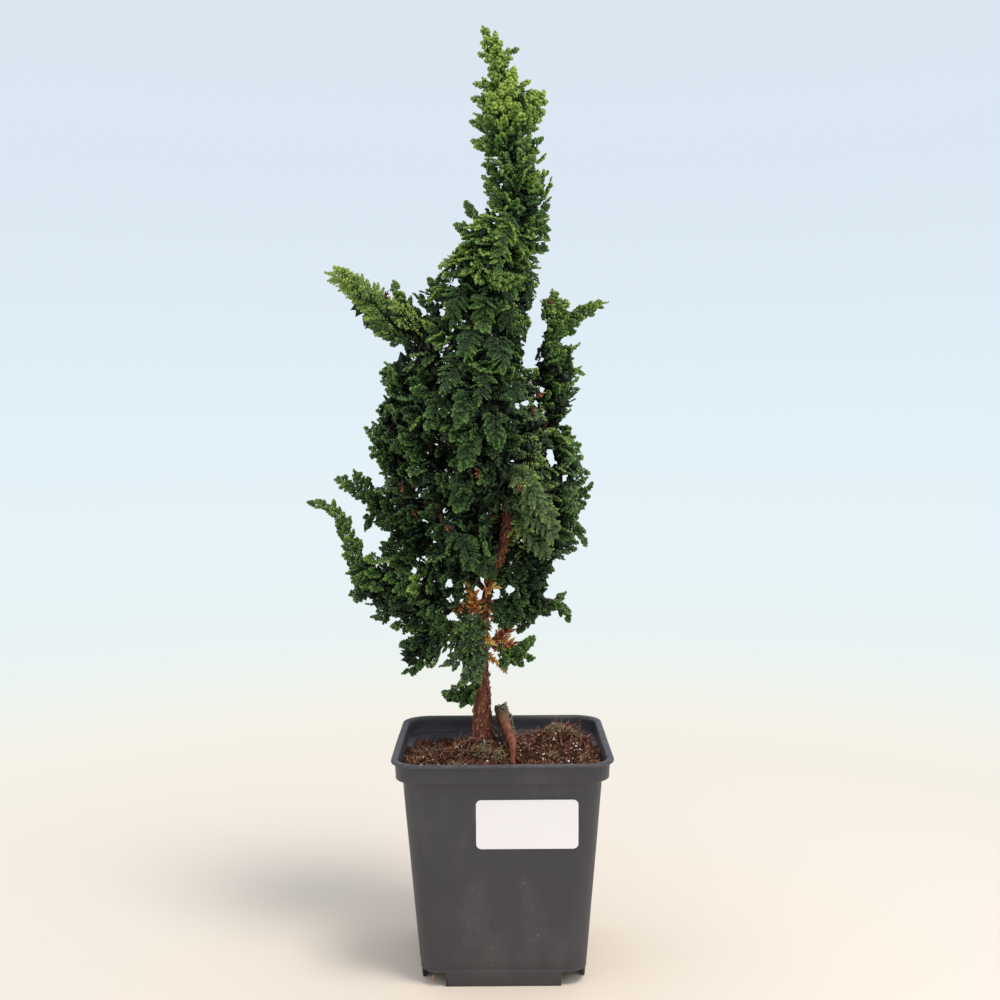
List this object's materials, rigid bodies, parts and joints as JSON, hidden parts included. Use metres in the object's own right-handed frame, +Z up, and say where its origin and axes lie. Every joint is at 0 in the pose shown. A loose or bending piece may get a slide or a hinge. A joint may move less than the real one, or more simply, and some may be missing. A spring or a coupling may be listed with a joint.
{
  "type": "hinoki cypress bonsai in nursery pot",
  "caption": "Young hinoki cypress bonsai with a leaning, twisting trunk and a narrow pointed crown, in a tapered square plastic nursery pot with a blank label.",
  "frame": {"origin": "middle of the whole object's footprint, on the surface that the pot stands on", "axes": "+Z up, -Y to the front, where the label is, +X to the right seen from the front"},
  "size_m": [0.1566, 0.11, 0.4805],
  "materials": {
    "pot_plastic": "matte",
    "label_paper": "satin",
    "potting_soil": "matte",
    "bark": "matte",
    "live_foliage": "satin",
    "dead_foliage": "matte"
  },
  "bodies": {
    "root": {"branch_back_high": "bark", "branch_back_low": "bark", "branch_back_mid": "bark", "branch_front_high": "bark", "branch_front_low": "bark", "branch_front_mid": "bark", "branch_inner_left": "bark", "branch_left_low": "bark", "branch_left_mid": "bark", "branch_left_second": "bark", "branch_right_back": "bark", "branch_right_column": "bark", "branch_right_front": "bark", "branch_right_low": "bark", "branch_right_mid": "bark", "branch_right_tip": "bark", "branch_shoulder_left": "bark", "branch_wing_left": "bark", "branch_wing_small": "bark", "dead_spray_fork": "dead_foliage", "dead_spray_left": "dead_foliage", "dead_spray_low": "dead_foliage", "dead_spray_right": "dead_foliage", "foliage_apex": "live_foliage", "foliage_back_low": "live_foliage", "foliage_centre_back": "live_foliage", "foliage_centre_front": "live_foliage", "foliage_front_low": "live_foliage", "foliage_left_bottom": "live_foliage", "foliage_left_inner": "live_foliage", "foliage_left_low": "live_foliage", "foliage_left_low_tip": "live_foliage", "foliage_left_mid": "live_foliage", "foliage_left_second": "live_foliage", "foliage_low_sprig": "live_foliage", "foliage_right_back": "live_foliage", "foliage_right_column": "live_foliage", "foliage_right_front": "live_foliage", "foliage_right_low": "live_foliage", "foliage_right_low_tip": "live_foliage", "foliage_right_mid": "live_foliage", "foliage_right_sprig": "live_foliage", "foliage_right_tip": "live_foliage", "foliage_shoulder_left": "live_foliage", "foliage_spire": "live_foliage", "foliage_trunk_side": "live_foliage", "foliage_upper_back": "live_foliage", "foliage_upper_front": "live_foliage", "foliage_wing_left": "live_foliage", "foliage_wing_small": "live_foliage", "label": "label_paper", "pot": "pot_plastic", "root_stub": "bark", "soil": "potting_soil", "surface_root": "bark", "trunk": "bark"}
  },
  "joints": []
}
